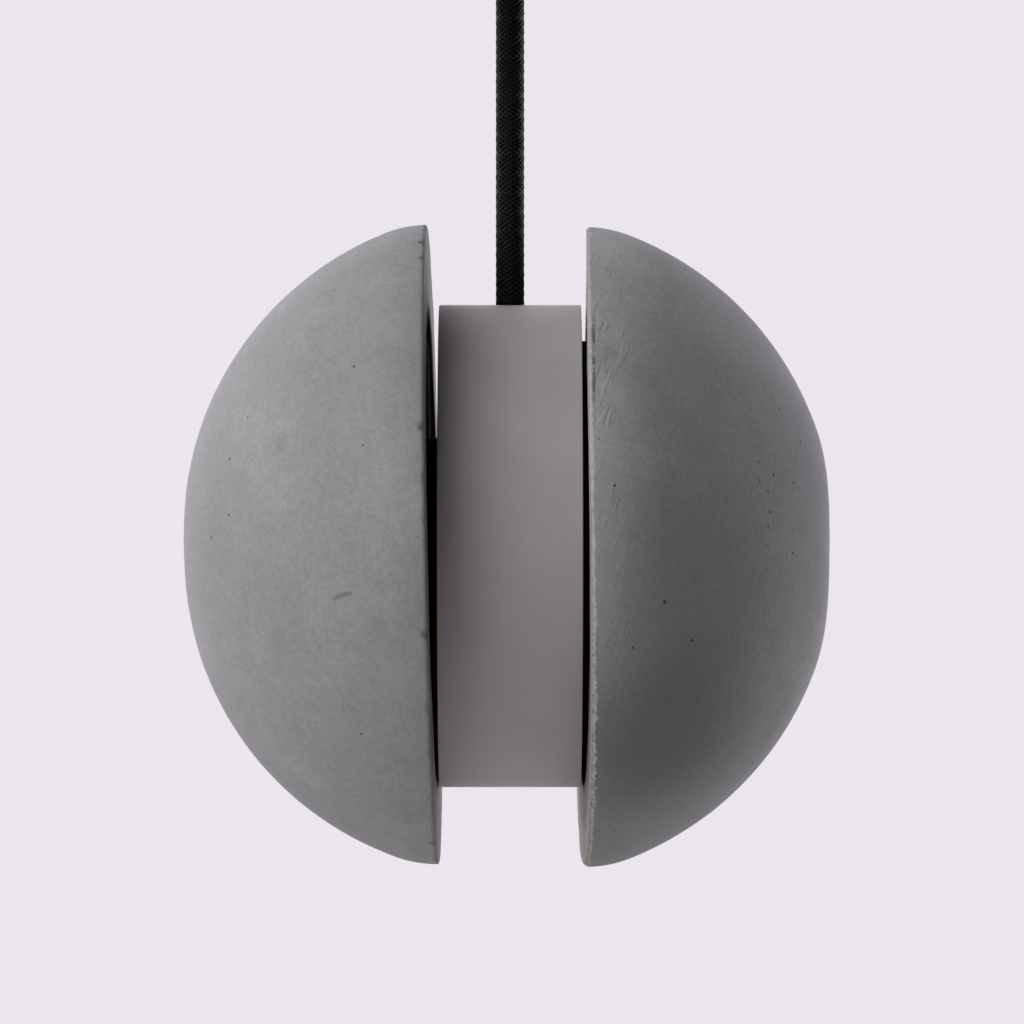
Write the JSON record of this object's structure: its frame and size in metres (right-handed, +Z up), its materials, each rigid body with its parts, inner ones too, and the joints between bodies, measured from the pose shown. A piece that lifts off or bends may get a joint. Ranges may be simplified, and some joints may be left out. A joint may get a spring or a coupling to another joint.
{
  "type": "pendant ceiling light",
  "caption": "Pendant light: hollow cast-concrete domes either side of a narrow metal drum, hung from a ceiling canopy on a short braided cord, with LED rings facing into the domes.",
  "frame": {"origin": "centre of the ceiling bracket's face against the ceiling", "axes": "+Z up into the ceiling, +X along the drum's axis towards the right dome, camera side is -Y"},
  "size_m": [0.166, 0.1653, 0.2649],
  "materials": {
    "concrete": "matte, cast, with fine pores",
    "drum_paint": "matte",
    "canopy_paint": "matte",
    "textile_cord": "braided",
    "zinc_steel": "zinc plated",
    "black_steel": "black oxide",
    "black_aluminium": "black anodised",
    "brass": "turned",
    "white_nylon": "matte",
    "lead_sleeve": "smooth",
    "circuit_board": "white solder mask",
    "led_phosphor": "smooth",
    "opal_acrylic": "opal",
    "black_rubber": "matte"
  },
  "bodies": {
    "ceiling": {"ceiling_bracket": "zinc_steel", "canopy_cup": "canopy_paint", "canopy_screws": "zinc_steel", "cord_grip": "zinc_steel", "cord_grip_nut": "canopy_paint", "canopy_terminal": "white_nylon", "canopy_terminal_screws": "zinc_steel", "earth_screw": "brass", "earth_tag": "brass", "canopy_leads": "lead_sleeve", "cord_top_end": "textile_cord"},
    "cord": {"pendant_cord": "textile_cord"},
    "drum": {"drum_shell": "drum_paint", "tie_rod": "zinc_steel", "hanger": "zinc_steel", "drum_gland": "brass", "drum_gland_nuts": "brass", "cord_bottom_end": "textile_cord", "cord_clamp": "white_nylon", "clamp_screws": "zinc_steel", "led_driver": "white_nylon", "driver_screws": "zinc_steel", "drum_terminal": "white_nylon", "drum_leads": "lead_sleeve", "left_end_plate": "drum_paint", "left_lock_nuts": "zinc_steel", "left_led_housing": "black_aluminium", "left_led_board": "circuit_board", "left_led_chips": "led_phosphor", "left_diffuser": "opal_acrylic", "left_housing_screws": "black_steel", "left_rubber_spacer": "black_rubber", "right_end_plate": "drum_paint", "right_lock_nuts": "zinc_steel", "right_led_housing": "black_aluminium", "right_led_board": "circuit_board", "right_led_chips": "led_phosphor", "right_diffuser": "opal_acrylic", "right_housing_screws": "black_steel", "right_rubber_spacer": "black_rubber"},
    "left_dome": {"left_dome": "concrete", "left_dome_bush": "brass"},
    "right_dome": {"right_dome": "concrete", "right_dome_bush": "brass"}
  },
  "joints": [
    {"name": "cord_swing", "type": "hinge", "parent": "ceiling", "child": "cord", "pos_m": [0, 0, -0.033], "axis": [0, 1, 0], "range_deg": [-12, 12]},
    {"name": "drum_twist", "type": "hinge", "parent": "cord", "child": "drum", "pos_m": [0, 0, -0.1197], "axis": [0, 0, 1], "range_deg": [-180, 180]},
    {"name": "left_dome_off", "type": "slide", "parent": "drum", "child": "left_dome", "axis": [-1, 0, 0], "range_m": [0, 0.022]},
    {"name": "right_dome_off", "type": "slide", "parent": "drum", "child": "right_dome", "axis": [1, 0, 0], "range_m": [0, 0.022]}
  ]
}
